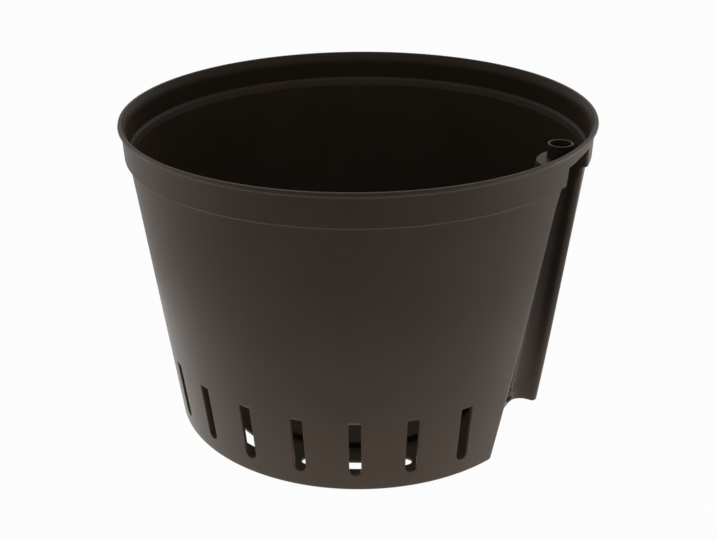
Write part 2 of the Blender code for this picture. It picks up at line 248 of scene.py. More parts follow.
SECTOR = SLOT_PITCH * (SLOT_PITCHES - SLOTS) / 2
PATCH_LOW = SLOT_BOTTOM - SLOT_MARGIN
PATCH_HIGH = SLOT_TOP + SLOT_TOP_RISE + SLOT_MARGIN
PANEL_TOP = PATCH_HIGH + 4 * SLOT_MARGIN
COLLAR_BORE = COLLAR_RADIUS - COLLAR_WALL
COLLAR_EDGE = COLLAR_WALL / 3
COLLAR_X = BAND_INNER - SEAM_GAP - COLLAR_INSET - COLLAR_RADIUS


def ease(share):
    """Smooth step from 0 to 1."""
    share = min(max(share, 0.0), 1.0)
    return share * share * (3 - 2 * share)


def spread(start, end, steps):
    """Even values from start to end, both included."""
    return [start + (end - start) * i / steps for i in range(steps + 1)]


def polar(radius, angle):
    """Point at a radius and an angle about the origin."""
    return radius * math.cos(angle), radius * math.sin(angle)


def arc(centre, radius, start, end, steps=ROUND_STEPS):
    """Points of a circular arc, both ends included."""
    reaches = [polar(radius, angle) for angle in spread(start, end, steps)]
    return [(centre[0] + x, centre[1] + y) for x, y in reaches]


# Section of the pot

def wall_radius(height):
    """Outer radius of the tapered wall."""
    return BASE_RADIUS + (SHOULDER_RADIUS - BASE_RADIUS) * height / SHOULDER_Z


def outer_radius(height):
    """Outer radius up to the band, with the fine ridge that the mould's parting leaves under it."""
    ridge = PARTING_HEIGHT * max(0.0, 1 - abs(height - SHOULDER_Z) * 2 / PARTING_WIDTH)
    if height <= SHOULDER_Z:
        return wall_radius(height) + ridge
    step = SHOULDER_STEP * ease((height - SHOULDER_Z) / SHOULDER_HEIGHT)
    taper = BAND_TAPER * min(max((height - BAND_FOOT) / (BAND_TOP - BAND_FOOT), 0.0), 1.0)
    return SHOULDER_RADIUS + step + taper + ridge


def inner_radius(height):
    """Inner radius up to the lip, with the narrow ledge under the band and the slope below that."""
    levels = [STEP_LOW, STEP_EDGE, STEP_HIGH]
    radii = [wall_radius(STEP_LOW) - WALL, BAND_INNER - STEP_LEDGE, BAND_INNER]
    if height <= levels[0]:
        return wall_radius(height) - WALL
    for i in range(2):
        if height <= levels[i + 1]:
            share = (height - levels[i]) / (levels[i + 1] - levels[i])
            return radii[i] + (radii[i + 1] - radii[i]) * share
    return BAND_INNER + (LIP_INNER - BAND_INNER) * max(0.0, 1 - (LIP_TOP - height) / INNER_FLARE) ** 2


def channel_face(height):
    """Distance of the channel's back face from the pot's axis."""
    return wall_radius(height) - CHANNEL_DEPTH


def channel_half(height):
    """Half the channel's width between its side walls."""
    return CHANNEL_HALF_FOOT + (CHANNEL_HALF_TOP - CHANNEL_HALF_FOOT) * height / LEDGE_TOP


def channel_corner(height):
    """Radius of the corners between the channel's back face and its side walls."""
    return CHANNEL_CORNER_FOOT + (CHANNEL_CORNER_TOP - CHANNEL_CORNER_FOOT) * height / LEDGE_TOP


def notch_corner(height):
    """Radius of the channel's outer edge, tighter where the band is cut."""
    share = ease((height - NOTCH_CORNER_LOW) / (SHOULDER_Z - NOTCH_CORNER_LOW))
    return MOUTH_CORNER + (NOTCH_CORNER - MOUTH_CORNER) * share


def mouth_of(height, corner):
    """Angle where the channel's outer edge runs into the wall, and the centre of that edge's rounding."""
    reach = outer_radius(height) - corner
    angle = math.asin((channel_half(height) + corner) / reach)
    return angle, (reach * math.cos(angle), channel_half(height) + corner)


def corner_centre(height):
    """Centre of the rounded corner at the channel's back, on the +Y side."""
    return channel_face(height) + channel_corner(height), channel_half(height) - channel_corner(height)


def channel_back(height, inset, along):
    """Point of the +Y corner and back face, along from the end of the side wall."""
    centre = corner_centre(height)
    corner = channel_corner(height)
    bend = corner * math.pi / 2
    reach = corner + inset
    if along < bend:
        x, y = polar(reach, math.pi / 2 + along / corner)
        return centre[0] + x, centre[1] + y
    return centre[0] - reach, centre[1] - (along - bend)


def back_length(height):
    """Length from the end of the side wall round the corner to the middle of the back face."""
    return channel_corner(height) * math.pi / 2 + corner_centre(height)[1]


def back_stations(height):
    """Where the columns lie along that length: up to the slot's patch, across it and on to the middle."""
    whole = back_length(height)
    reach = CHANNEL_SLOT_WIDTH / 2 + SLOT_MARGIN
    low, high = CHANNEL_SLOT_SHARE * whole - reach, CHANNEL_SLOT_SHARE * whole + reach
    stations = spread(0.0, low, CORNER_COLUMNS)[1:] + spread(low, high, CHANNEL_SLOT_COLUMNS)[1:]
    return stations + spread(high, whole, BACK_COLUMNS)[1:]


def mouth_lip():
    """How far the notch's side runs in from its rounded edge before the web behind the strip."""
    _, centre = mouth_of(LEDGE_FOOT, notch_corner(LEDGE_FOOT))
    return centre[0] - math.sqrt(WEB_OUTER ** 2 - channel_half(LEDGE_FOOT) ** 2)


# Columns run round the pot: the slotted pitches first, then the channel's sector from -Y to +Y

def wall_angles():
    """Angles of the columns on the slotted part of the wall, denser beside each slot."""
    half = SLOT_PITCH / 2
    reach = (SLOT_WIDTH / 2 + SLOT_MARGIN) / wall_radius(PATCH_LOW)
    sides = (COLUMNS_PER_PITCH - SLOT_PATCH_COLUMNS) // 2
    steps = spread(-half, -reach, sides)[:-1] + spread(-reach, reach, SLOT_PATCH_COLUMNS)[:-1]
    steps += spread(reach, half, sides)[:-1]
    first = SECTOR + half
    return [first + pitch * SLOT_PITCH + step for pitch in range(SLOTS) for step in steps] + [-SECTOR]


WALL_ANGLES = wall_angles()
SLOT_LEAD = WALL_COLUMNS + MOUTH_COLUMNS + LIP_COLUMNS + SIDE_COLUMNS + CORNER_COLUMNS
HALF_COLUMNS = SLOT_LEAD + CHANNEL_SLOT_COLUMNS + BACK_COLUMNS
COLUMNS = len(WALL_ANGLES) + 2 * HALF_COLUMNS - 1


def whole_row(radius, half, height):
    """Row of points from the wall's radius and the +Y half of the channel's sector."""
    wall = [polar(radius, angle) for angle in WALL_ANGLES]
    other = [(x, -y) for x, y in half]
    return [(x, y, height) for x, y in wall + other + half[-2::-1]]


def deep_half(height, inset, wall_inset, corner):
    """The channel's sector at a height, from the slotted wall to the middle of the channel's back."""
    angle, mouth = mouth_of(height, corner)
    radius = outer_radius(height) - wall_inset
    half = [polar(radius, a) for a in spread(SECTOR, angle, WALL_COLUMNS)[1:]]
    for step in range(1, MOUTH_COLUMNS + 1):
        share = step / MOUTH_COLUMNS
        turn = angle + (-math.pi / 2 - angle) * share
        reach = corner - wall_inset - (inset - wall_inset) * share
        x, y = polar(reach, turn)
        half.append((mouth[0] + x, mouth[1] + y))
    back_start = corner_centre(height)[0]
    side = channel_half(height) + inset
    lip = mouth[0] - mouth_lip()
    half += [(x, side) for x in spread(mouth[0], lip, LIP_COLUMNS)[1:]]
    half += [(x, side) for x in spread(lip, back_start, SIDE_COLUMNS)[1:]]
    return half + [channel_back(height, inset, along) for along in back_stations(height)]


def outer_row(height, inset=0.0):
    """Row on the outside of wall and channel."""
    half = deep_half(height, inset, inset, notch_corner(height))
    return whole_row(outer_radius(height) - inset, half, height)


def inner_row(height, more=0.0, trim=0.0):
    """Row on the pot's inside: more moves it all further in, trim moves the channel's skin back out."""
    wall_inset = outer_radius(height) - inner_radius(height) + more
    half = deep_half(height, WALL + more - trim, wall_inset, MOUTH_CORNER)
    return whole_row(inner_radius(height) - more, half, height)


def path_shares(half, first):
    """Share of the way along a half's points from the given one to the last."""
    lengths = [0.0]
    for a, b in zip(half[first:], half[first + 1:]):
        lengths.append(lengths[-1] + math.dist(a, b))
    return [length / lengths[-1] for length in lengths]


EDGE_COLUMN = WALL_COLUMNS - 1
WEB_COLUMN = WALL_COLUMNS + MOUTH_COLUMNS + LIP_COLUMNS - 1


def web_row(height):
    """Row on the outside of the web that closes the notch above the ledge."""
    half = deep_half(height, 0.0, 0.0, notch_corner(height))
    start = math.asin(channel_half(height) / WEB_OUTER)
    shares = path_shares(half, WEB_COLUMN)
    half[WEB_COLUMN:] = [polar(WEB_OUTER, start * (1 - share)) for share in shares]
    return whole_row(outer_radius(height), half, height)


def round_half(radius, half, mouth_radius):
    """Sector of a round row whose columns follow a deep one's, at another radius over the mouth."""
    edge = math.atan2(half[EDGE_COLUMN][1], half[EDGE_COLUMN][0])
    points = [polar(radius, angle) for angle in spread(SECTOR, edge, WALL_COLUMNS)[1:]]
    for column, share in enumerate(path_shares(half, EDGE_COLUMN)[1:], 1):
        reach = radius + (mouth_radius - radius) * ease(column / MOUTH_COLUMNS)
        points.append(polar(reach, edge * (1 - share)))
    return points


STRIP_HALF = deep_half(NOTCH_TOP, 0.0, 0.0, notch_corner(NOTCH_TOP))
LEDGE_HALF = deep_half(LEDGE_TOP, WALL, WALL, MOUTH_CORNER)


def strip_row(radius, height, mouth_radius=None):
    """Round row on the outside, over the notch."""
    return whole_row(radius, round_half(radius, STRIP_HALF, mouth_radius or radius), height)


def band_row(radius, height, mouth_radius=None):
    """Round row on the inside, over the ledge."""
    return whole_row(radius, round_half(radius, LEDGE_HALF, mouth_radius or radius), height)


def floor_angles(like):
    """Angle at the floor's step for each column: level with the channel's sides, then eased out."""
    x, y, _ = like[len(WALL_ANGLES) + EDGE_COLUMN]
    edge = abs(math.atan2(y, x))
    start = math.asin(abs(y) / CENTRE_RADIUS)
    plain = SECTOR + SLOT_PITCH
    angles = []
    for index, (x, y, _) in enumerate(like):
        angle = math.atan2(y, x)
        column = min(index - len(WALL_ANGLES), COLUMNS - 1 - index)
        if column >= WALL_COLUMNS:
            angle = math.asin(y / CENTRE_RADIUS)
        elif abs(angle) < plain:
            share = (abs(angle) - edge) / (plain - edge)
            angle = math.copysign(start + (plain - start) * share, angle)
        angles.append(angle)
    return angles


def centre_row(radius, height, angles):
    return [(*polar(radius, angle), height) for angle in angles]


def fillet_rows(skin, centre, start, end, angles, skip=0):
    """Add the round rows over a fillet of the floor."""
    for radius, height in arc(centre, FLOOR_FILLET, start, end)[skip:]:
        skin.add(centre_row(radius, height, angles))


def ruled(first, last, shares):
    """Rows between two rows."""
    return [[tuple(a + (b - a) * s for a, b in zip(p, q)) for p, q in zip(first, last)] for s in shares]


def slot_levels():
    """Heights of the rows beside the slots, from the base's rounding to the panel's top."""
    levels = [BASE_ROUNDING, (BASE_ROUNDING + PATCH_LOW) / 2]
    levels += spread(PATCH_LOW, PATCH_HIGH, SLOT_PATCH_ROWS)
    return levels + [PANEL_TOP]


def slit_shares(outer, inner):
    """Shares of the way in over the floor's ring at which its rows lie, with the slit's patch between."""
    reach = SLIT_WIDTH / 2 + SLOT_MARGIN
    low, high = ((outer - SLIT_RADIUS - side) / (outer - inner) for side in (reach, -reach))
    shares = spread(0.0, low, RING_STEPS)[:-1] + spread(low, high, SLIT_PATCH_ROWS)
    return shares + spread(high, 1.0, RING_STEPS)[1:]


class Skin:
    """Rows of the closed skin, from the middle of the underside over the lip to the middle of the floor."""

    def __init__(self):
        self.rows = []
        self.marks = {}

    def add(self, *rows):
        self.rows.extend(rows)

    def mark(self, name, ahead=0):
        """Remember the last row under a name, or a row that is still to come."""
        self.marks[name] = len(self.rows) - 1 + ahead

    def run(self, name):
        """First and last row of a marked run."""
        return self.marks[name + "_start"], self.marks[name + "_end"]


def underside(skin):
    foot = outer_row(0.0, BASE_ROUNDING)
    angles = floor_angles(foot)
    inside = CENTRE_RADIUS - FLOOR_THICKNESS
    for radius in spread(0.0, inside - FLOOR_FILLET, RING_STEPS):
        skin.add(centre_row(radius, CENTRE_RISE, angles))
    fillet_rows(skin, (inside - FLOOR_FILLET, CENTRE_RISE - FLOOR_FILLET), math.pi / 2, 0.0, angles, 1)
    fillet_rows(skin, (inside + FLOOR_FILLET, FLOOR_FILLET), math.pi, math.pi * 1.5, angles)
    skin.mark("under_ring_start")
    shares = slit_shares(outer_radius(0.0) - BASE_ROUNDING, inside + FLOOR_FILLET)
    skin.add(*ruled(foot, skin.rows[-1], reversed(shares))[1:])
    skin.mark("under_ring_end")


def outside(skin):
    for turn in spread(0.0, math.pi / 2, ROUND_STEPS)[1:-1]:
        height = BASE_ROUNDING * (1 - math.cos(turn))
        skin.add(outer_row(height, BASE_ROUNDING * (1 - math.sin(turn))))
    skin.mark("foot_start", 1)
    skin.add(*map(outer_row, slot_levels()))
    skin.mark("foot_end")
    half = PARTING_WIDTH / 2
    levels = spread(PANEL_TOP, NOTCH_CORNER_LOW, WALL_STEPS)[1:]
    levels += spread(NOTCH_CORNER_LOW, SHOULDER_Z - half, RING_STEPS)[1:]
    levels += [SHOULDER_Z, SHOULDER_Z + half]
    levels += spread(SHOULDER_Z + half, BAND_FOOT, FLARE_STEPS)[1:]
    levels += spread(BAND_FOOT, LEDGE_FOOT, 2)[1:-1] + [LEDGE_FOOT]
    skin.add(*map(outer_row, levels))
    skin.add(web_row(LEDGE_FOOT), web_row(NOTCH_TOP))


def lip(skin):
    edge = arc((-LIP_ROUNDING, NOTCH_TOP + LIP_ROUNDING), LIP_ROUNDING, -math.pi / 2, 0.0)
    for back, height in edge:
        skin.add(strip_row(outer_radius(height), height, outer_radius(height) + back))
    for share in spread(1.0, 0.0, FLARE_STEPS):
        flare = BAND_RADIUS + (RIM_RADIUS - LIP_EDGE - BAND_RADIUS) * (1 - share) ** 3
        skin.add(strip_row(flare, LIP_FOOT - LIP_FLARE * share))
    under = (RIM_RADIUS - LIP_EDGE, LIP_FOOT + LIP_EDGE)
    section = arc(under, LIP_EDGE, -math.pi / 2, 0.0)[1:]
    crown = RIM_RADIUS - LIP_TAPER - LIP_ROUNDING
    section += arc((crown, LIP_TOP), LIP_ROUNDING, 0.0, math.pi / 2)
    for radius, height in section:
        skin.add(strip_row(radius, height))
    crown = LIP_INNER + LIP_ROUNDING
    for radius, height in arc((crown, LIP_TOP), LIP_ROUNDING, math.pi / 2, math.pi):
        skin.add(band_row(radius, height))
    for height in spread(LIP_TOP, NOTCH_TOP + WEB_RISE, FLARE_STEPS)[1:-1]:
        skin.add(band_row(inner_radius(height), height))


def inside(skin):
    web = WEB_OUTER - WEB_THICKNESS
    web_top = NOTCH_TOP + WEB_RISE
    web_edge = web_top - WEB_THICKNESS / 2
    skin.add(band_row(inner_radius(web_top), web_top), band_row(inner_radius(web_edge), web_edge, web))
    skin.add(band_row(inner_radius(LEDGE_TOP), LEDGE_TOP, web))
    for turn in spread(0.0, math.pi / 2, ROUND_STEPS):
        height = LEDGE_TOP - LEDGE_ROUNDING * (1 - math.cos(turn))
        skin.add(inner_row(height, 0.0, LEDGE_ROUNDING * (1 - math.sin(turn))))
    for edge in (STEP_HIGH, STEP_EDGE, STEP_LOW):
        skin.add(*map(inner_row, spread(edge + STEP_ROUNDING, edge - STEP_ROUNDING, 2)))
    skin.add(*map(inner_row, spread(STEP_LOW - STEP_ROUNDING, PANEL_TOP, WALL_STEPS)[1:-1]))
    levels = [level for level in reversed(slot_levels()) if level > FLOOR_THICKNESS + FLOOR_FILLET]
    skin.mark("inner_start", 1)
    skin.add(*map(inner_row, levels))
    skin.mark("inner_end")
    for turn in spread(0.0, math.pi / 2, ROUND_STEPS):
        height = FLOOR_THICKNESS + FLOOR_FILLET * (1 - math.sin(turn))
        skin.add(inner_row(height, FLOOR_FILLET * (1 - math.cos(turn))))
    skin.mark("ring_start")


def floor_top(skin):
    wall_foot = skin.rows[-1]
    angles = floor_angles(outer_row(0.0, BASE_ROUNDING))
    outside_step = CENTRE_RADIUS + FLOOR_FILLET
    shares = slit_shares(inner_radius(FLOOR_THICKNESS) - FLOOR_FILLET, outside_step)
    skin.add(*ruled(wall_foot, centre_row(outside_step, FLOOR_THICKNESS, angles), shares)[1:])
    skin.mark("ring_end")
    fillet_rows(skin, (outside_step, FLOOR_THICKNESS + FLOOR_FILLET), -math.pi / 2, -math.pi, angles, 1)
    fillet_rows(skin, (CENTRE_RADIUS - FLOOR_FILLET, CENTRE_TOP - FLOOR_FILLET), 0.0, math.pi / 2, angles)
    for radius in spread(CENTRE_RADIUS - FLOOR_FILLET, 0.0, RING_STEPS)[1:]:
        skin.add(centre_row(radius, CENTRE_TOP, angles))


class SkinMesh:
    """Faces on the skin's rows, made cell by cell or as chains of loops through a hole."""

    def __init__(self, skin, name):
        self.skin = skin
        self.name = name
        self.mesh = bmesh.new()
        self.made = {}

    def vert(self, row, column):
        key = row, column % COLUMNS
        if key not in self.made:
            self.made[key] = self.mesh.verts.new(self.skin.rows[row][key[1]])
        return self.made[key]

    def cell(self, row, column):
        corners = ((row, column), (row, column + 1), (row + 1, column + 1), (row + 1, column))
        self.mesh.faces.new([self.vert(*corner) for corner in corners])

    def cells(self, name, columns, hole_rows, hole_columns):
        """All cells of a marked run of rows in a range of columns, but for a hole."""
        for row in range(*self.skin.run(name)):
            for column in columns:
                if row not in hole_rows or column not in hole_columns:
                    self.cell(row, column)

    def border(self, low, high, left, right):
        """Grid points round a patch, from its low left corner along the low row."""
        step = 1 if high > low else -1
        keys = [(low, c) for c in range(left, right)]
        keys += [(r, right) for r in range(low, high, step)]
        keys += [(high, c) for c in range(right, left, -1)]
        keys += [(r, left) for r in range(high, low, -step)]
        return [self.vert(*key) for key in keys]

    def chain(self, first, loops, last):
        """Faces from one border through loops of points to another border."""
        rings = [first] + [[self.mesh.verts.new(p) for p in loop] for loop in loops] + [last]
        for near, far in zip(rings, rings[1:]):
            for i in range(len(near)):
                j = (i + 1) % len(near)
                self.mesh.faces.new((near[i], near[j], far[j], far[i]))

    def to_object(self):
        bmesh.ops.remove_doubles(self.mesh, verts=self.mesh.verts, dist=WELD)
        return object_from(self.mesh, self.name)


def object_from(mesh, name):
    """Scene object from a bmesh, shaded smooth."""
    data = bpy.data.meshes.new(name)
    mesh.to_mesh(data)
    mesh.free()
    data.shade_smooth()
    made = bpy.data.objects.new(name, data)
    bpy.context.scene.collection.objects.link(made)
    return made


def slot_loop(half, bottom, top, across, up):
    """Outline of a slot in (across, up) points, round at its bottom, with the counts of its patch."""
    spring = bottom + half
    loop = arc((0.0, spring), half, math.pi, 2 * math.pi, across)[:-1]
    loop += [(half, z) for z in spread(spring, top, up)[:-1]]
    loop += [(x, top) for x in spread(half, -half, across)[:-1]]
    return loop + [(-half, z) for z in spread(top, spring, up)[:-1]]


def slit_loop(half_length, half, across, up):
    """Outline of a slit with round ends, in (along, inwards) points."""
    straight = half_length - half
    loop = [(x, -half) for x in spread(-straight, straight, across)[:-1]]
    loop += arc((straight, 0.0), half, -math.pi / 2, math.pi / 2, up)[:-1]
    loop += [(x, half) for x in spread(straight, -straight, across)[:-1]]
    return loop + arc((-straight, 0.0), half, math.pi / 2, math.pi * 1.5, up)[:-1]


def rounded_edges(thickness):
    """Widening and depth of the loops through a wall, with a rounding at both faces."""
    entry = [(EDGE_ROUNDING * (1 - math.sin(t)), EDGE_ROUNDING * (1 - math.cos(t)))
             for t in spread(0.0, math.pi / 2, ROUND_STEPS)]
    return entry + [(widen, thickness - depth) for widen, depth in reversed(entry)]


def slot_loops(place, width, rise):
    """Loops of a slot through the wall: place turns (across, height, depth) into a point."""
    loops = []
    for widen, depth in rounded_edges(WALL):
        top = SLOT_TOP + rise * (1 - depth / WALL) + widen
        outline = slot_loop(width / 2 + widen, SLOT_BOTTOM - widen, top, place.across, SLOT_PATCH_ROWS)
        loops.append([place.point(a, z, depth) for a, z in outline])
    return loops


class WallPlace:
    """Place on the round wall about an angle."""

    across = SLOT_PATCH_COLUMNS

    def __init__(self, angle):
        self.angle = angle

    def point(self, a, height, depth):
        radius = wall_radius(height)
        return *polar(radius - depth, self.angle + a / radius), height


class ChannelPlace:
    """Place beside the channel's rounded back corner, on the side that has the sign of Y."""

    across = CHANNEL_SLOT_COLUMNS

    def __init__(self, side):
        self.side = side

    def point(self, a, height, depth):
        x, y = channel_back(height, depth, CHANNEL_SLOT_SHARE * back_length(height) - self.side * a)
        return x, self.side * y, height


def patch_rows(skin):
    """Rows at the low and the high side of the slots' patch, outside and inside."""
    low = skin.marks["foot_start"] + ROWS_UNDER_PATCH
    inner_high = skin.marks["inner_start"] + ROWS_OVER_PATCH
    return low, low + SLOT_PATCH_ROWS, inner_high + SLOT_PATCH_ROWS, inner_high


def slot_panel(skin):
    """One pitch of the foot with its slot."""
    panel = SkinMesh(skin, "slot_panel")
    left = (COLUMNS_PER_PITCH - SLOT_PATCH_COLUMNS) // 2
    right = left + SLOT_PATCH_COLUMNS
    low, high, inner_low, inner_high = patch_rows(skin)
    for name, rows in (("foot", range(low, high)), ("inner", range(inner_high, inner_low))):
        panel.cells(name, range(COLUMNS_PER_PITCH), rows, range(left, right))
    loops = slot_loops(WallPlace(SECTOR + SLOT_PITCH / 2), SLOT_WIDTH, SLOT_TOP_RISE)
    outer = panel.border(low, high, left, right)
    inner = panel.border(inner_low, inner_high, left, right)
    panel.chain(outer, loops, inner)
    return panel.to_object()


def slit_panel(skin):
    """Three pitches of the floor's ring with their slit."""
    panel = SkinMesh(skin, "slit_panel")
    first = COLUMNS_PER_PITCH
    last = first + SLIT_PITCHES * COLUMNS_PER_PITCH
    middle = SECTOR + SLOT_PITCH * (1 + SLIT_PITCHES / 2)
    reach = SLIT_SPAN / 2 + SLOT_MARGIN / SLIT_RADIUS
    inside_patch = [c for c in range(first, last) if abs(WALL_ANGLES[c] - middle) <= reach]
    left, right = inside_patch[0], inside_patch[-1]
    top_low = skin.marks["ring_start"] + RING_STEPS
    under_high = skin.marks["under_ring_start"] + RING_STEPS
    for name, low in (("ring", top_low), ("under_ring", under_high)):
        panel.cells(name, range(first, last), range(low, low + SLIT_PATCH_ROWS), range(left, right))
    loops = []
    half_length = SLIT_SPAN * SLIT_RADIUS / 2
    for widen, depth in rounded_edges(FLOOR_THICKNESS):
        outline = slit_loop(half_length + widen, SLIT_WIDTH / 2 + widen, right - left, SLIT_PATCH_ROWS)
        height = FLOOR_THICKNESS - depth
        loops.append([(*polar(SLIT_RADIUS - w, middle + a / SLIT_RADIUS), height) for a, w in outline])
    top = panel.border(top_low, top_low + SLIT_PATCH_ROWS, left, right)
    under = panel.border(under_high + SLIT_PATCH_ROWS, under_high, left, right)
    panel.chain(top, loops, under)
    return panel.to_object()


def plain_skin(skin):
    """The rest of the skin: all cells outside the repeated panels, with the channel's own slots."""
    rest = SkinMesh(skin, "pot_moulding")
    slotted = len(WALL_ANGLES) - 1
    slits = COLUMNS_PER_PITCH, COLUMNS_PER_PITCH * (1 + SLIT_PITCHES * SLITS)
    low, high, inner_low, inner_high = patch_rows(skin)
    corners = [(slotted + SLOT_LEAD, -1), (COLUMNS - SLOT_LEAD - CHANNEL_SLOT_COLUMNS, 1)]
    spans = {"foot": (0, slotted), "inner": (0, slotted), "ring": slits, "under_ring": slits}
    gaps = [(*skin.run(name), *span) for name, span in spans.items()]
    for left, _ in corners:
        right = left + CHANNEL_SLOT_COLUMNS
        gaps += [(low, high, left, right), (inner_high, inner_low, left, right)]
    for row in range(len(skin.rows) - 1):
        closed = [(left, right) for start, end, left, right in gaps if start <= row < end]
        for column in range(COLUMNS):
            if not any(left <= column < right for left, right in closed):
                rest.cell(row, column)
    for left, side in corners:
        right = left + CHANNEL_SLOT_COLUMNS
        loops = slot_loops(ChannelPlace(side), CHANNEL_SLOT_WIDTH, 0.0)
        outer = rest.border(low, high, left, right)
        inner = rest.border(inner_low, inner_high, left, right)
        rest.chain(outer, loops, inner)
    return rest.to_object()


def repeat_tree():
    """Geometry nodes that set copies of a panel round the pot's axis and weld them into the skin."""
    tree = bpy.data.node_groups.new("panels_round_the_axis", "GeometryNodeTree")
    for name, kind in (("Skin", "Geometry"), ("Panel", "Object"), ("Copies", "Int"), ("Pitch", "Float"),
                       ("Weld", "Float"), ("Finish", "Material")):
        tree.interface.new_socket(name, in_out="INPUT", socket_type=f"NodeSocket{kind}")
    tree.interface.new_socket("Moulding", in_out="OUTPUT", socket_type="NodeSocketGeometry")

    def add(kind, **links):
        node = tree.nodes.new(kind)
        for socket, source in links.items():
            tree.links.new(source, node.inputs[socket.replace("_", " ")])
        return node

    given = tree.nodes.new("NodeGroupInput").outputs
    panel = add("GeometryNodeObjectInfo", Object=given["Panel"])
    points = add("GeometryNodePoints", Count=given["Copies"])
    turn = tree.nodes.new("ShaderNodeMath")
    turn.operation = "MULTIPLY"
    tree.links.new(tree.nodes.new("GeometryNodeInputIndex").outputs[0], turn.inputs[0])
    tree.links.new(given["Pitch"], turn.inputs[1])
    euler = add("ShaderNodeCombineXYZ", Z=turn.outputs[0])
    rotation = add("FunctionNodeEulerToRotation", Euler=euler.outputs[0])
    copies = add("GeometryNodeInstanceOnPoints", Points=points.outputs[0],
                 Instance=panel.outputs["Geometry"], Rotation=rotation.outputs[0])
    joined = add("GeometryNodeJoinGeometry", Geometry=copies.outputs[0])
    tree.links.new(given["Skin"], joined.inputs["Geometry"])
    real = add("GeometryNodeRealizeInstances", Geometry=joined.outputs[0])
    welded = add("GeometryNodeMergeByDistance", Geometry=real.outputs[0], Distance=given["Weld"])
    finished = add("GeometryNodeSetMaterial", Geometry=welded.outputs[0], Material=given["Finish"])
    add("NodeGroupOutput", Moulding=finished.outputs[0])
    return tree


def plain_mesh(piece):
    """Replace the piece's mesh by its evaluated form and drop its modifiers."""
    graph = bpy.context.evaluated_depsgraph_get()
    data = bpy.data.meshes.new_from_object(piece.evaluated_get(graph))
    piece.modifiers.clear()
    piece.data = data
    data.name = piece.name
    return piece


# Stations along the tilted gauge, counted from its foot
FOOT_X = channel_face(FOOT_HEIGHT) + FOOT_STANDOFF + TUBE_RADIUS
GAUGE_TILT = math.atan2(COLLAR_X - FOOT_X, LEDGE_MIDDLE - FOOT_HEIGHT)
HEAD_RADIUS = COLLAR_BORE - HEAD_PLAY
TUBE_BORE = TUBE_RADIUS - TUBE_WALL
PLUG_RADIUS = TUBE_BORE - RUN_CLEARANCE
HEAD_SEAT = ((LEDGE_TOP + SEAM_GAP + HEAD_RADIUS * math.sin(GAUGE_TILT) - FOOT_HEIGHT)
             / math.cos(GAUGE_TILT))
FLOAT_FOOT = FOOT_FLANGE + FOOT_SPIGOT + SEAM_GAP
FLOAT_TOP = FLOAT_FOOT + FLOAT_LENGTH
PIN_TOP = HEAD_SEAT + HEAD_FLANGE
PIN_FOOT = PIN_TOP - PIN_LENGTH
LEDGE_BORE = TUBE_RADIUS + LEDGE_BORE_PLAY
SHOULDER_STOP = HEAD_SEAT - HEAD_SPIGOT - SEAM_GAP - FLOAT_TRAVEL
GAUGE_PLACE = Matrix.Translation((FOOT_X, 0.0, FOOT_HEIGHT)) @ Matrix.Rotation(GAUGE_TILT, 4, "Y")


def make_moulding(finish):
    skin = Skin()
    for part in (underside, outside, lip, inside, floor_top):
        part(skin)
    moulding = plain_skin(skin)
    tree = repeat_tree()
    sockets = {item.name: item.identifier for item in tree.interface.items_tree}
    panels = ((slot_panel(skin), SLOTS, SLOT_PITCH), (slit_panel(skin), SLITS, SLOT_PITCH * SLIT_PITCHES))
    for panel, copies, pitch in panels:
        modifier = moulding.modifiers.new(panel.name, "NODES")
        modifier.node_group = tree
        for name, value in (("Panel", panel), ("Copies", copies), ("Pitch", pitch), ("Weld", WELD),
                            ("Finish", finish)):
            modifier[sockets[name]] = value
    plain_mesh(moulding)
    for panel, _, _ in panels:
        bpy.data.objects.remove(panel)
    bore = [(0.0, PIN_TOP), (LEDGE_BORE, PIN_TOP), (LEDGE_BORE, PIN_FOOT), (0.0, PIN_FOOT)]
    drill = turned("gauge_drill", bore, GAUGE_PLACE)
    cut = moulding.modifiers.new("gauge_hole", "BOOLEAN")
    cut.object = drill
    cut.solver = "EXACT"
    even = moulding.modifiers.new("even_shading", "WEIGHTED_NORMAL")
    even.mode = "FACE_AREA"
    plain_mesh(moulding)
    bpy.data.objects.remove(drill)
    return moulding


def turned(name, profile, place=Matrix.Identity(4), closed=False):
    """Profile of (radius, height) points, outer side downwards first, turned about Z and set in place."""
    mesh = bmesh.new()
    for step in range(TURN_STEPS):
        angle = 2 * math.pi * step / TURN_STEPS
        for r, z in profile:
            mesh.verts.new(place @ Vector((*polar(r, angle), z)))
    mesh.verts.ensure_lookup_table()
    count = len(profile)
    for step in range(TURN_STEPS):
        near, far = step * count, (step + 1) % TURN_STEPS * count
        for i in range(count if closed else count - 1):
            j = (i + 1) % count
            mesh.faces.new([mesh.verts[k] for k in (near + j, far + j, far + i, near + i)])
    bmesh.ops.remove_doubles(mesh, verts=mesh.verts, dist=WELD)
    bmesh.ops.recalc_face_normals(mesh, faces=mesh.faces)
    return object_from(mesh, name)


def eased_profile(points, radius, closed=False):
    """Profile with each of its corners rounded, as far as its edges allow."""
    made = []
    count = len(points)
    for i, point in enumerate(points):
        corner = Vector(point)
        if not closed and i in (0, count - 1):
            made.append(point)
            continue
        before, after = Vector(points[i - 1]) - corner, Vector(points[(i + 1) % count]) - corner
        cut = min(radius, before.length * ROUNDING_SHARE, after.length * ROUNDING_SHARE)
        start, end = corner + before.normalized() * cut, corner + after.normalized() * cut
        for share in spread(0.0, 1.0, ROUND_STEPS):
            rest = 1 - share
            made.append(tuple(start * rest ** 2 + corner * 2 * share * rest + end * share ** 2))
    return made


def gauge_piece(name, section, closed=True, edge=SMALL_EDGE):
    """Piece of the gauge: a section with eased edges, turned about the gauge's own axis."""
    return turned(name, eased_profile(section, edge, closed), GAUGE_PLACE, closed)


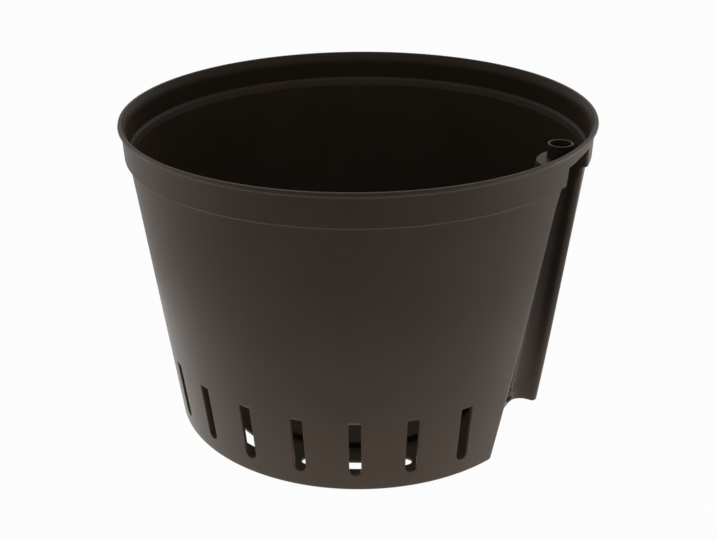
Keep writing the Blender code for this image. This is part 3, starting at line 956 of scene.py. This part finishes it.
def make_collar():
    """Upright collar on the ledge, with a fillet at its foot."""
    foot = LEDGE_TOP - LEDGE_THICKNESS / 2
    outer = [(COLLAR_RADIUS, COLLAR_TOP)]
    fillet = (COLLAR_RADIUS + COLLAR_FILLET, LEDGE_TOP + COLLAR_FILLET)
    outer += arc(fillet, COLLAR_FILLET, math.pi, math.pi * 1.5)
    outer += [(COLLAR_RADIUS + COLLAR_FILLET, foot), (COLLAR_BORE, foot), (COLLAR_BORE, COLLAR_TOP)]
    rounded = eased_profile(outer, COLLAR_EDGE, closed=True)
    return turned("gauge_collar_ring", rounded, Matrix.Translation((COLLAR_X, 0.0, 0.0)), closed=True)


def make_tube():
    section = [(TUBE_RADIUS, HEAD_SEAT - SEAM_GAP), (TUBE_RADIUS, FOOT_FLANGE + SEAM_GAP),
               (TUBE_BORE, FOOT_FLANGE + SEAM_GAP), (TUBE_BORE, HEAD_SEAT - SEAM_GAP)]
    return gauge_piece("water_gauge_tube", section)


def make_head():
    guide = PIN_RADIUS + RUN_CLEARANCE
    section = [(HEAD_RADIUS, HEAD_SEAT + HEAD_FLANGE), (HEAD_RADIUS, HEAD_SEAT), (PLUG_RADIUS, HEAD_SEAT),
               (PLUG_RADIUS, HEAD_SEAT - HEAD_SPIGOT), (guide, HEAD_SEAT - HEAD_SPIGOT),
               (guide, HEAD_SEAT + HEAD_FLANGE)]
    return gauge_piece("water_gauge_head", section)


def make_foot():
    top = FOOT_FLANGE + FOOT_SPIGOT
    section = [(PLUG_RADIUS, top), (PLUG_RADIUS, FOOT_FLANGE), (TUBE_RADIUS, FOOT_FLANGE),
               (TUBE_RADIUS, 0.0), (FOOT_BORE, 0.0), (FOOT_BORE, top)]
    return gauge_piece("water_gauge_foot", section)


def make_float():
    socket = ROD_RADIUS + SEAM_GAP
    section = [(0.0, FLOAT_TOP - ROD_SOCKET), (socket, FLOAT_TOP - ROD_SOCKET), (socket, FLOAT_TOP),
               (PLUG_RADIUS, FLOAT_TOP), (PLUG_RADIUS, FLOAT_FOOT), (0.0, FLOAT_FOOT)]
    return gauge_piece("water_gauge_float", section, False, FLOAT_ROUNDING)


def make_rod():
    low, high = FLOAT_TOP - ROD_SOCKET + SEAM_GAP, PIN_FOOT + ROD_SOCKET - SEAM_GAP
    foot = SHOULDER_STOP - ROD_SHOULDER
    section = [(0.0, high), (ROD_RADIUS, high), (ROD_RADIUS, SHOULDER_STOP), (PLUG_RADIUS, SHOULDER_STOP),
               (PLUG_RADIUS, foot), (ROD_RADIUS, foot), (ROD_RADIUS, low), (0.0, low)]
    return gauge_piece("water_gauge_rod", section, False)


def make_pin():
    socket = ROD_RADIUS + SEAM_GAP
    deep = PIN_FOOT + ROD_SOCKET
    section = arc((0.0, PIN_TOP - PIN_RADIUS), PIN_RADIUS, math.pi / 2, 0.0, 2 * ROUND_STEPS)
    section += [(PIN_RADIUS, PIN_FOOT), (socket, PIN_FOOT), (socket, deep), (0.0, deep)]
    return turned("water_gauge_pin", section, GAUGE_PLACE)


class Value:
    """A shader socket that takes part in Python expressions: each operation adds a Math node."""

    def __init__(self, tree, socket):
        self.tree = tree
        self.socket = socket

    def math(self, operation, *others):
        node = self.tree.nodes.new("ShaderNodeMath")
        node.operation = operation
        for slot, value in zip(node.inputs, others):
            if isinstance(value, Value):
                self.tree.links.new(value.socket, slot)
            else:
                slot.default_value = value
        return Value(self.tree, node.outputs[0])

    def __add__(self, other):
        return self.math("ADD", self, other)

    def __sub__(self, other):
        return self.math("SUBTRACT", self, other)

    def __rsub__(self, other):
        return self.math("SUBTRACT", other, self)

    def __mul__(self, other):
        return self.math("MULTIPLY", self, other)

    __radd__ = __add__
    __rmul__ = __mul__


class Finish:
    """A material under construction."""

    def __init__(self, name):
        self.material = bpy.data.materials.new(name)
        self.material.use_nodes = True
        self.tree = self.material.node_tree
        self.shader = self.tree.nodes["Principled BSDF"]

    def feed(self, socket, value):
        if isinstance(value, Value):
            self.tree.links.new(value.socket, socket)
        else:
            socket.default_value = value

    def node(self, kind, settings, sockets, output=0):
        """Any node: its settings are set first, then its sockets are given values or links."""
        node = self.tree.nodes.new(kind)
        for name, value in settings.items():
            setattr(node, name, value)
        for name, value in sockets.items():
            self.feed(node.inputs[name], value)
        return Value(self.tree, node.outputs[output])

    def place(self, scale=(1.0, 1.0, 1.0)):
        """Object coordinates, stretched."""
        here = self.node("ShaderNodeTexCoord", {}, {}, "Object")
        return self.node("ShaderNodeMapping", {}, {"Vector": here, "Scale": scale})

    def axis(self, name):
        """One of the Object coordinates."""
        return self.node("ShaderNodeSeparateXYZ", {}, {"Vector": self.place()}, name)

    def noise(self, scale, detail, where=None):
        sockets = {"Vector": where or self.place(), "Scale": scale, "Detail": detail}
        return self.node("ShaderNodeTexNoise", {}, sockets, "Fac")

    def ramp(self, value, low, high):
        """0 below low, 1 above high, smooth between."""
        settings = {"interpolation_type": "SMOOTHSTEP"}
        sockets = {"Value": value, "From Min": low, "From Max": high}
        return self.node("ShaderNodeMapRange", settings, sockets)

    def blend(self, share, first, second):
        """Colour between two colours."""
        sockets = {"Factor": share, 6: first, 7: second}
        return self.node("ShaderNodeMix", {"data_type": "RGBA"}, sockets, 2)

    def bump(self, height, distance, strength):
        sockets = {"Height": height, "Distance": distance, "Strength": strength}
        return self.node("ShaderNodeBump", {}, sockets)

    def surface(self, **sockets):
        for name, value in sockets.items():
            self.feed(self.shader.inputs[name.replace("_", " ")], value)
        return self.material


def painted_shade_in_channel(finish, x, y, height):
    """Painted shade mask: 1 on the channel's own faces under the ledge, fading out at its mouth and towards
    its foot.
    """
    lean = (wall_radius(SHOULDER_Z) - wall_radius(0.0)) / SHOULDER_Z
    narrowing = (CHANNEL_HALF_FOOT - CHANNEL_HALF_TOP) / LEDGE_TOP
    full, ended = BEHIND_FULL * WALL, BEHIND_ENDED * WALL
    drawn = x - height * lean
    before_back = finish.ramp(drawn, channel_face(0.0) - ended, channel_face(0.0) - full)
    aside = y.math("ABSOLUTE", y) + height * narrowing
    between = 1 - finish.ramp(aside, CHANNEL_HALF_FOOT + full, CHANNEL_HALF_FOOT + ended)
    from_axis = x * x + y * y
    sunk = height * lean - from_axis.math("SQRT", from_axis)
    inside = finish.ramp(sunk, SHADE_DEPTH_START - wall_radius(0.0), SHADE_DEPTH_END - wall_radius(0.0))
    raised = finish.ramp(height, SHADE_FOOT, SHADE_TOP)
    under_ledge = 1 - finish.ramp(height, LEDGE_TOP - 2 * WALL, LEDGE_TOP - WALL)
    return before_back * between * inside * raised * under_ledge


def pot_plastic():
    """Dark brown satin plastic with faint flow clouds, draw marks up the wall, a fine grain and painted
    shade in the gauge channel.
    """
    finish = Finish("pot_plastic")
    clouds = finish.noise(POT_CLOUDS, 3.0)
    streaks = finish.noise(1.0, 2.0, finish.place(POT_STREAKS))
    grain = finish.noise(POT_GRAIN, 2.0)
    x, y, height = [finish.axis(name) for name in "XYZ"]
    rubbed = finish.ramp(height, LIP_FOOT, POT_HEIGHT)
    rubbed = rubbed * finish.ramp(finish.noise(POT_RUBS, 4.0), 0.52, 0.7)
    body = finish.blend(finish.ramp(clouds, 0.3, 0.7), BROWN, BROWN_CLOUD)
    streaked = finish.blend(finish.ramp(streaks, 0.45, 0.75) * 0.25, body, BROWN_STREAK)
    worn = finish.blend(rubbed * 0.5, streaked, BROWN_WORN)
    # Painted shade: the channel's faces under the ledge are darkened in the base colour, in place of their
    # shadow
    deep = painted_shade_in_channel(finish, x, y, height)
    colour = finish.blend(deep * PAINTED_SHADE_SHARE, worn, BROWN_PAINTED_SHADE)
    relief = grain * 0.8 + streaks * 0.2
    return finish.surface(Base_Color=colour, Roughness=0.36 + clouds * 0.10 + streaks * 0.06,
                          Normal=finish.bump(relief, POT_RELIEF, 0.35), Specular_IOR_Level=0.10)


def gauge_clear():
    """Clear extruded tube with faint lines along it."""
    finish = Finish("gauge_clear")
    lines = finish.noise(1.0, 2.0, finish.place(CLEAR_LINES))
    shade = finish.blend(lines, CLEAR, CLEAR_LINE)
    return finish.surface(Base_Color=shade, Roughness=0.05 + lines * 0.08,
                          Alpha=0.012 + lines * 0.022, IOR=CLEAR_IOR)


def gauge_dark():
    """Near-black moulded plastic with a fine grain."""
    finish = Finish("gauge_dark")
    grain = finish.noise(DARK_GRAIN, 2.0)
    clouds = finish.noise(DARK_CLOUDS, 3.0)
    shade = finish.blend(clouds, BLACK, BLACK_CLOUD)
    return finish.surface(Base_Color=shade, Roughness=0.46 + clouds * 0.12,
                          Normal=finish.bump(grain, DARK_RELIEF, 0.3), Specular_IOR_Level=0.08)


def indicator_red():
    """Red moulded plastic, a little faded in patches."""
    finish = Finish("indicator_red")
    clouds = finish.noise(RED_CLOUDS, 3.0)
    shade = finish.blend(clouds, RED, RED_CLOUD)
    return finish.surface(Base_Color=shade, Roughness=0.32 + clouds * 0.12,
                          Normal=finish.bump(finish.noise(RED_GRAIN, 2.0), RED_RELIEF, 0.3))


def settle(piece, body, nodes, finish):
    """Give a finished piece its material and its body, and hide the CAD nodes that it stands for."""
    piece.data.materials.clear()
    piece.data.materials.append(finish)
    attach(piece, body)
    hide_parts(*nodes)


def make_object():
    finishes = {"pot_plastic": pot_plastic(), "gauge_clear": gauge_clear(), "gauge_dark": gauge_dark(),
                "indicator_red": indicator_red()}
    moulding = make_moulding(finishes["pot_plastic"])
    shell = ("pot_wall", "rim_band", "floor_plate", "gauge_channel")
    plan = ((moulding, "pot", "pot_plastic", shell),
            (make_collar(), "pot", "pot_plastic", ("gauge_collar",)),
            (make_tube(), "pot", "gauge_clear", ("gauge_tube",)),
            (make_head(), "pot", "gauge_dark", ("gauge_head",)),
            (make_foot(), "pot", "gauge_dark", ("gauge_foot",)),
            (make_float(), "float", "gauge_dark", ("gauge_float",)),
            (make_rod(), "float", "gauge_dark", ("float_rod",)),
            (make_pin(), "float", "indicator_red", ("indicator_pin",)))
    for piece, body, slot, nodes in plan:
        settle(piece, body, nodes, finishes[slot])


def seen_rays(tree):
    """1 for rays that show the background: from the camera, mirrored or passing through a surface."""
    path = tree.nodes.new("ShaderNodeLightPath").outputs
    seen = Value(tree, path["Is Camera Ray"])
    seen = seen.math("MAXIMUM", seen, Value(tree, path["Is Glossy Ray"]))
    return seen.math("MAXIMUM", seen, Value(tree, path["Is Transmission Ray"]))


def make_floor():
    """Wide pale floor, nearly white to the camera, that keeps the pot's soft shadow."""
    mesh = bmesh.new()
    bmesh.ops.create_grid(mesh, x_segments=1, y_segments=1, size=FLOOR_REACH)
    floor = object_from(mesh, "studio_floor")
    finish = Finish("studio_floor")
    finish.surface(Base_Color=FLOOR_GREY, Roughness=0.9, Specular_IOR_Level=0.0)
    white = finish.node("ShaderNodeEmission", {}, {"Strength": 1.0})
    paint = Value(finish.tree, finish.shader.outputs[0])
    share = seen_rays(finish.tree) * FLOOR_WHITE
    mixed = finish.node("ShaderNodeMixShader", {}, {0: share, 1: paint, 2: white})
    finish.feed(finish.tree.nodes["Material Output"].inputs["Surface"], mixed)
    floor.data.materials.append(finish.material)


def make_world():
    """Soft grey light all round, with a white background for what is seen, mirrored or seen through."""
    world = bpy.data.worlds.new("studio")
    world.use_nodes = True
    tree = world.node_tree
    strength = WORLD_LIGHT + seen_rays(tree) * (1.0 - WORLD_LIGHT)
    background = tree.nodes["Background"]
    background.inputs["Color"].default_value = WHITE
    tree.links.new(strength.socket, background.inputs["Strength"])
    bpy.context.scene.world = world


def view_axes(azimuth):
    """Right, towards the camera and up, level, for a camera at an azimuth."""
    right = Vector((math.cos(azimuth), math.sin(azimuth), 0.0))
    back = Vector((math.sin(azimuth), -math.cos(azimuth), 0.0))
    return right, back, Vector((0.0, 0.0, 1.0))


def soft_light(name, shape, place, aim, size, power):
    """Area light from a place towards an aim, not seen itself by the camera."""
    light = bpy.data.lights.new(name, "AREA")
    light.shape = shape
    light.size, light.size_y = size
    light.energy = power
    lamp = bpy.data.objects.new(name, light)
    lamp.visible_camera = False
    lamp.location = place
    lamp.rotation_euler = (aim - place).to_track_quat("-Z", "Y").to_euler()
    bpy.context.scene.collection.objects.link(lamp)


def make_lights():
    """Low strips left and right, a weak box overhead and a light table that lifts the pot's foot."""
    right, back, up = view_axes(CAMERA_AZIMUTH)
    low = STRIP_LEVEL * up
    for name, side, power in (("left_strip", -right, LEFT_POWER), ("right_strip", right, RIGHT_POWER)):
        place = STRIP_REACH * (math.cos(STRIP_TURN) * side + math.sin(STRIP_TURN) * back)
        soft_light(name, "RECTANGLE", place + low, low, (STRIP_LENGTH, STRIP_RISE), power)
    soft_light("top_box", "SQUARE", TOP_LEVEL * up, low, (TOP_SIZE, TOP_SIZE), TOP_POWER)
    soft_light("light_table", "DISK", TABLE_LEVEL * up, up, (TABLE_SIZE, TABLE_SIZE), TABLE_POWER)


def make_camera():
    right, back, up = view_axes(CAMERA_FACING)
    level, drop = math.cos(CAMERA_PITCH), math.sin(CAMERA_PITCH)
    look = -level * back - drop * up
    over = level * up - drop * back
    tilt = Matrix.Rotation(-CAMERA_ROLL, 3, look)
    axes = Matrix((tilt @ right, tilt @ over, -look)).transposed().to_4x4()
    data = bpy.data.cameras.new("photo_view")
    data.lens = CAMERA_LENS
    data.sensor_width = SENSOR_WIDTH
    camera = bpy.data.objects.new("photo_view", data)
    bpy.context.scene.collection.objects.link(camera)
    place = CAMERA_DISTANCE * view_axes(CAMERA_AZIMUTH)[1] + CAMERA_HEIGHT * up
    camera.matrix_world = Matrix.Translation(place) @ axes
    bpy.context.scene.camera = camera


make_object()
make_floor()
make_world()
make_lights()
make_camera()
bpy.context.scene.view_settings.view_transform = "Standard"
